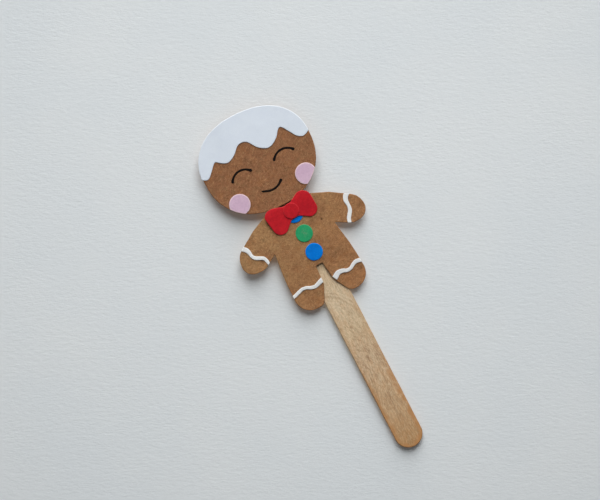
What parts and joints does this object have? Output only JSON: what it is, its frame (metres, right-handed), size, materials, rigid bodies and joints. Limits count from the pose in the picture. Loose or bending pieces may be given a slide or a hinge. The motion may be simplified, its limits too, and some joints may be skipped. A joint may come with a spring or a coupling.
{
  "type": "craft stick puppet",
  "caption": "Gingerbread figure of layered kraft card with paper icing, cheeks, bow tie and buttons, glued to the front of a flat birch craft stick that serves as its handle.",
  "frame": {"origin": "grip point: middle of the stick's flat back face, 25 mm above the stick's lower end", "axes": "+Z along the stick from the hand towards the head; the face looks along -Y; +Y is the outward normal of the stick's flat back; +X is the right of somebody who looks at the face"},
  "size_m": [0.0481, 0.0048, 0.1313],
  "materials": {
    "birch": "matte",
    "kraft_card": "matte",
    "icing_paper": "matte",
    "pink_paper": "matte",
    "red_paper": "matte",
    "blue_paper": "matte",
    "green_paper": "matte",
    "black_ink": "matte",
    "dried_glue": "satin"
  },
  "bodies": {
    "root": {"craft_stick": "birch", "stick_glue": "dried_glue", "neck_glue": "dried_glue", "head_glue": "dried_glue", "body": "kraft_card", "head": "kraft_card", "frosting": "icing_paper", "left_cheek": "pink_paper", "right_cheek": "pink_paper", "left_eye_line": "black_ink", "right_eye_line": "black_ink", "smile_line": "black_ink", "top_button": "blue_paper", "middle_button": "green_paper", "bottom_button": "blue_paper", "bow_glue": "dried_glue", "bow_tie": "red_paper", "bow_knot": "red_paper", "left_arm_icing": "icing_paper", "right_arm_icing": "icing_paper", "left_leg_icing": "icing_paper", "right_leg_icing": "icing_paper"}
  },
  "joints": []
}
